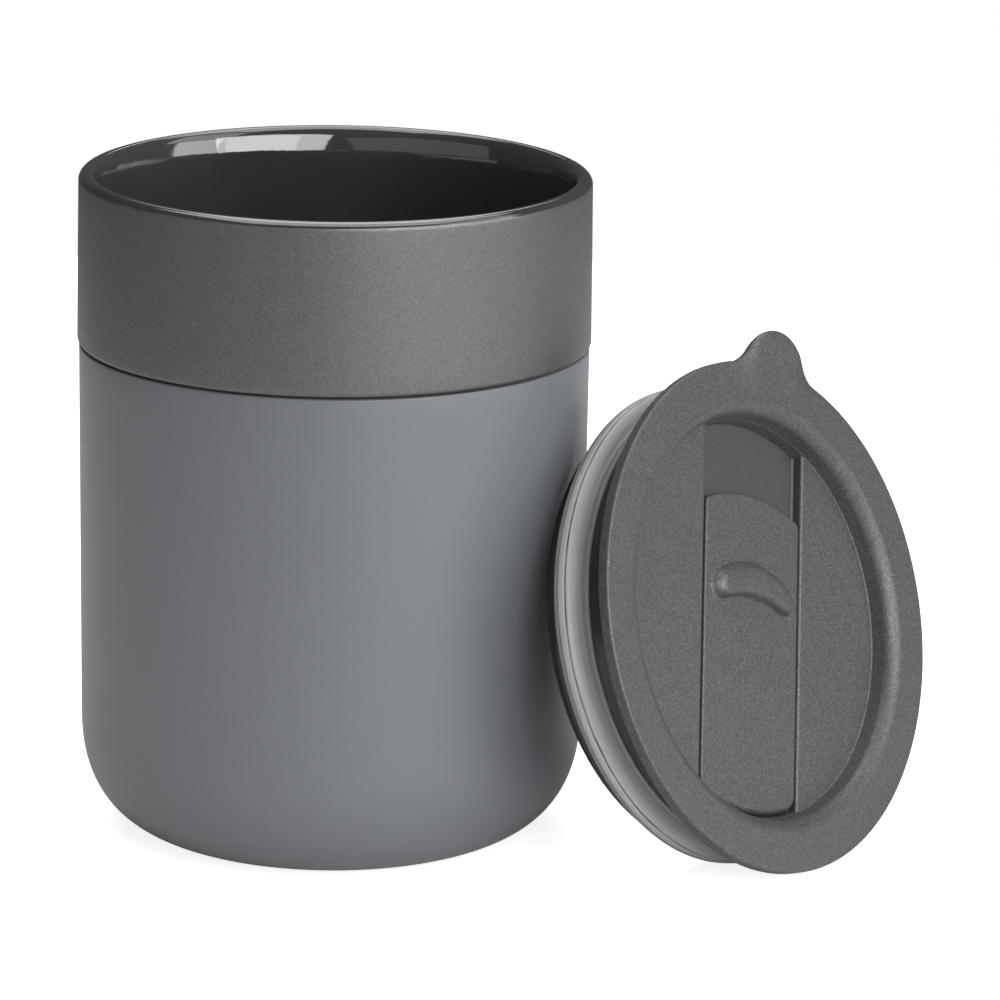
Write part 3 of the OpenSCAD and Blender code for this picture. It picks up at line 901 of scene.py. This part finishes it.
def silicone_sleeve():
    t = Tree("sleeve_silicone")
    v = t.noise(30, 3, 0.6)
    grain = t.noise(2600, 3, 0.6)
    c = t.times((0.112, 0.119, 0.1285), t.range(v, 0.3, 0.7, 0.985, 1.015))
    c = t.times(c, t.range(grain, 0.25, 0.75, 0.955, 1.045))
    n = t.bump(t.math("ADD", t.math("MULTIPLY", grain, 0.5), t.math("MULTIPLY", t.noise(700, 2, 0.5), 0.5)), 0.00005, 0.5)
    s = t.shader(Base_Color=c, Roughness=t.range(grain, 0.3, 0.7, 0.38, 0.46), IOR=1.52, Normal=n)
    s.inputs["Sheen Weight"].default_value = 0.05
    s.inputs["Sheen Roughness"].default_value = 0.5
    return t.surface(s.outputs[0])


def silicone_clear(name, colour, rough, ring=False):
    t = Tree(name)
    v = t.noise(55, 3, 0.55)
    c = t.times(colour, t.range(v, 0.3, 0.7, 0.95, 1.05))
    c = t.times(c, t.range(t.noise(1700, 2, 0.6), 0.3, 0.7, 0.975, 1.025))
    if ring:
        # the thin edge by the neck lets the dark plug show through; the torn parting line has dirt in it
        # painted shade: darker towards the neck, where the flange shades the ring and the dark plug shows through its
        # thin edge, with a slight painted highlight on the flare; painted shadow in the torn parting line's groove
        z, r = t.lid_place()
        depth = t.range(z, -12.5, -6.0, 0.0, 1.0)
        # brightness by height: painted shade by the neck, in the lip's small groove and by the collar, a slight painted
        # highlight on the flare
        stops = [(-12.2, 0.45), (-11.25, 0.60), (-10.9, 0.46), (-10.6, 0.46), (-10.35, 0.98), (-8.4, 1.0), (-7.95, 1.06), (-7.62, 0.76), (-7.3, 0.48), (-6.8, 0.50), (-6.15, 0.66)]
        c = t.times(c, t.value(t.ramp(depth, [((z0 + 12.5) / 6.5, (g, g, g)) for z0, g in stops])))
        # painted shadow along the parting line's groove, broken up by noise
        parting_shade = t.math("MULTIPLY", t.range(z, -9.30, -9.20, 0.0, 1.0), t.range(z, -8.92, -8.80, 1.0, 0.0))
        parting_shade = t.math("MULTIPLY", parting_shade, t.range(r, 39.90, 39.96, 1.0, 0.0))
        shade_breaks = t.range(t.noise(130, 2, 0.6), 0.42, 0.58, 0.25, 0.75)
        c = t.times(c, t.math("SUBTRACT", 1.0, t.math("MULTIPLY", parting_shade, shade_breaks)))
    n = t.bump(t.math("ADD", t.noise(260, 2, 0.5), t.math("MULTIPLY", t.noise(1500, 2, 0.5), 0.25)), 0.00009, 0.5)
    s = t.shader(Base_Color=c, Roughness=t.range(v, 0.3, 0.7, rough - 0.05, rough + 0.06), IOR=1.41, Normal=n)
    s.inputs["Subsurface Weight"].default_value = 0.32 if ring else 0.35
    s.inputs["Subsurface Radius"].default_value = (1.0, 0.96, 0.92)
    s.inputs["Subsurface Scale"].default_value = 0.0008 if ring else 0.0012
    return t.surface(s.outputs[0])


def clip_plastic():
    t = Tree("clip_plastic")
    g = t.noise(1400, 3, 0.6)
    c = t.times((0.018, 0.018, 0.0185), t.range(g, 0.3, 0.7, 0.88, 1.12))
    n = t.bump(g, 0.00006, 0.6)
    s = t.shader(Base_Color=c, Roughness=t.range(g, 0.3, 0.7, 0.42, 0.54), IOR=1.49, Normal=n)
    return t.surface(s.outputs[0])


def assign(obj, *mats):
    obj.data.materials.clear()
    for mm in mats:
        obj.data.materials.append(mm)


paint, bare, satin = painted_plastic(), smooth_plastic(), satin_floor()
assign(cup, cup_material())
assign(sleeve, silicone_sleeve())
assign(lid, paint, bare, satin)
to_lid = LID.inverted()
for p in lid.data.polygons:
    c = to_lid @ p.center
    r = math.hypot(c.x, c.y)
    n = (to_lid.to_3x3() @ p.normal).normalized()
    if r > 34.15 and c.z < FLANGE_Z - 0.02:
        p.material_index = 1                                   # neck, groove, collar and the hollow's wall
    elif abs(c.z - CHAN_Z) < 0.3 and n.z > 0.3:
        p.material_index = 2                                   # channel floor
    elif c.z < CHAN_Z - 0.02 or (c.z < DISH_Z - 1.5 and n.z < -0.2):
        p.material_index = 1                                   # all that faces the drink
assign(seal, silicone_clear("seal_silicone", (0.375, 0.381, 0.388), 0.38, True))
assign(slider, paint)
assign(gasket, silicone_clear("gasket_silicone", (0.24, 0.242, 0.245), 0.42))
assign(retainer, clip_plastic())

for piece, node, body, slot in ((cup, "cup", "cup", "cup"), (sleeve, "sleeve", "sleeve", "sleeve"), (lid, "lid_body", "lid", "lid"),
                                (seal, "lid_seal", "lid", "seal"), (slider, "slider", "slider", "slider"),
                                (gasket, "slider_gasket", "slider", "gasket"), (retainer, "slider_retainer", "slider", "retainer")):
    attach(piece, body)
    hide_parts(node)

# ------------------------------------------------------------------ floor, surroundings and lights
floor_mesh = bpy.data.meshes.new("floor")
bm = bmesh.new()
bmesh.ops.create_circle(bm, cap_ends=True, segments=128, radius=0.46)
bm.to_mesh(floor_mesh)
bm.free()
floor = bpy.data.objects.new("floor", floor_mesh)
bpy.context.scene.collection.objects.link(floor)
floor.location = (0, 0, -0.0002)
t = Tree("pale_floor")
pale = t.shader(Base_Color=t.times((0.74, 0.74, 0.74), t.range(t.noise(14, 2, 0.5), 0.3, 0.7, 0.995, 1.005)), Roughness=0.9)
pale.inputs["Specular IOR Level"].default_value = 0.1
glow = t.node("ShaderNodeEmission")
t.put(glow.inputs["Strength"], t.math("MULTIPLY", t.node("ShaderNodeLightPath").outputs["Is Camera Ray"], 0.82))
both = t.node("ShaderNodeAddShader")
t.t.links.new(pale.outputs[0], both.inputs[0])
t.t.links.new(glow.outputs[0], both.inputs[1])
assign(floor, t.surface(both.outputs[0]))

LEVEL = {"world": 0.09, "key": 4.9, "core": 1.6, "top": 2.5, "side": 3.6, "side_high": 1.6, "fill": 0.42, "back": 2.3, "back_high": 2.1}

world = bpy.data.worlds.new("studio")
bpy.context.scene.world = world
world.use_nodes = True
wt = world.node_tree
wt.nodes.clear()
wo = wt.nodes.new("ShaderNodeOutputWorld")
lp = wt.nodes.new("ShaderNodeLightPath")
b1, b2 = wt.nodes.new("ShaderNodeBackground"), wt.nodes.new("ShaderNodeBackground")
b1.inputs[0].default_value = (1, 1, 1, 1)
b1.inputs[1].default_value = LEVEL["world"]
b2.inputs[0].default_value = (1, 1, 1, 1)
b2.inputs[1].default_value = 1.0
ms = wt.nodes.new("ShaderNodeMixShader")
wt.links.new(lp.outputs["Is Camera Ray"], ms.inputs[0])
wt.links.new(b1.outputs[0], ms.inputs[1])
wt.links.new(b2.outputs[0], ms.inputs[2])
wt.links.new(ms.outputs[0], wo.inputs[0])

AIM = Vector((0.02, 0.012, 0.06))


def panel(name, azimuth, elevation, distance, width, height, radiance, tint=(1, 1, 1), spread=180):
    """A soft light. Azimuth is from the camera's direction, positive to the right. Radiance 1 is paper white."""
    a, e = math.radians(azimuth), math.radians(elevation)
    d = seen((math.sin(a) * math.cos(e), -math.cos(a) * math.cos(e), math.sin(e)))
    data = bpy.data.lights.new(name, "AREA")
    data.shape = "RECTANGLE"
    data.size, data.size_y = width, height
    data.energy = radiance * width * height * pi
    data.color = tint
    data.spread = math.radians(spread)
    obj = bpy.data.objects.new(name, data)
    obj.location = AIM + d * distance
    obj.rotation_mode = "QUATERNION"
    obj.rotation_quaternion = d.to_track_quat("Z", "Y")
    obj.visible_camera = False
    bpy.context.scene.collection.objects.link(obj)
    return obj


def softbox(name, azimuth, elevation, wide, high):
    """A panel given by the angles it fills, seen from the object."""
    reach = 1.2
    return panel(name, azimuth, elevation, reach, 2 * reach * math.tan(math.radians(wide / 2)), 2 * reach * math.tan(math.radians(high / 2)), LEVEL[name])


softbox("key", 33.3, 20, 56.5, 36)
softbox("core", 38, 20, 36, 30)
softbox("top", 180, 84, 62, 58)
softbox("side", 75, 15, 27, 30)
softbox("side_high", 79, 42, 34, 24)
softbox("fill", -46, 15, 72, 30)
softbox("back", 180, 35, 20, 20)
softbox("back_high", 180, 55, 26, 24)

scene = bpy.context.scene
scene.view_settings.view_transform = "Standard"
scene.view_settings.look = "None"
scene.view_settings.exposure = 0.0
scene.view_settings.gamma = 1.0
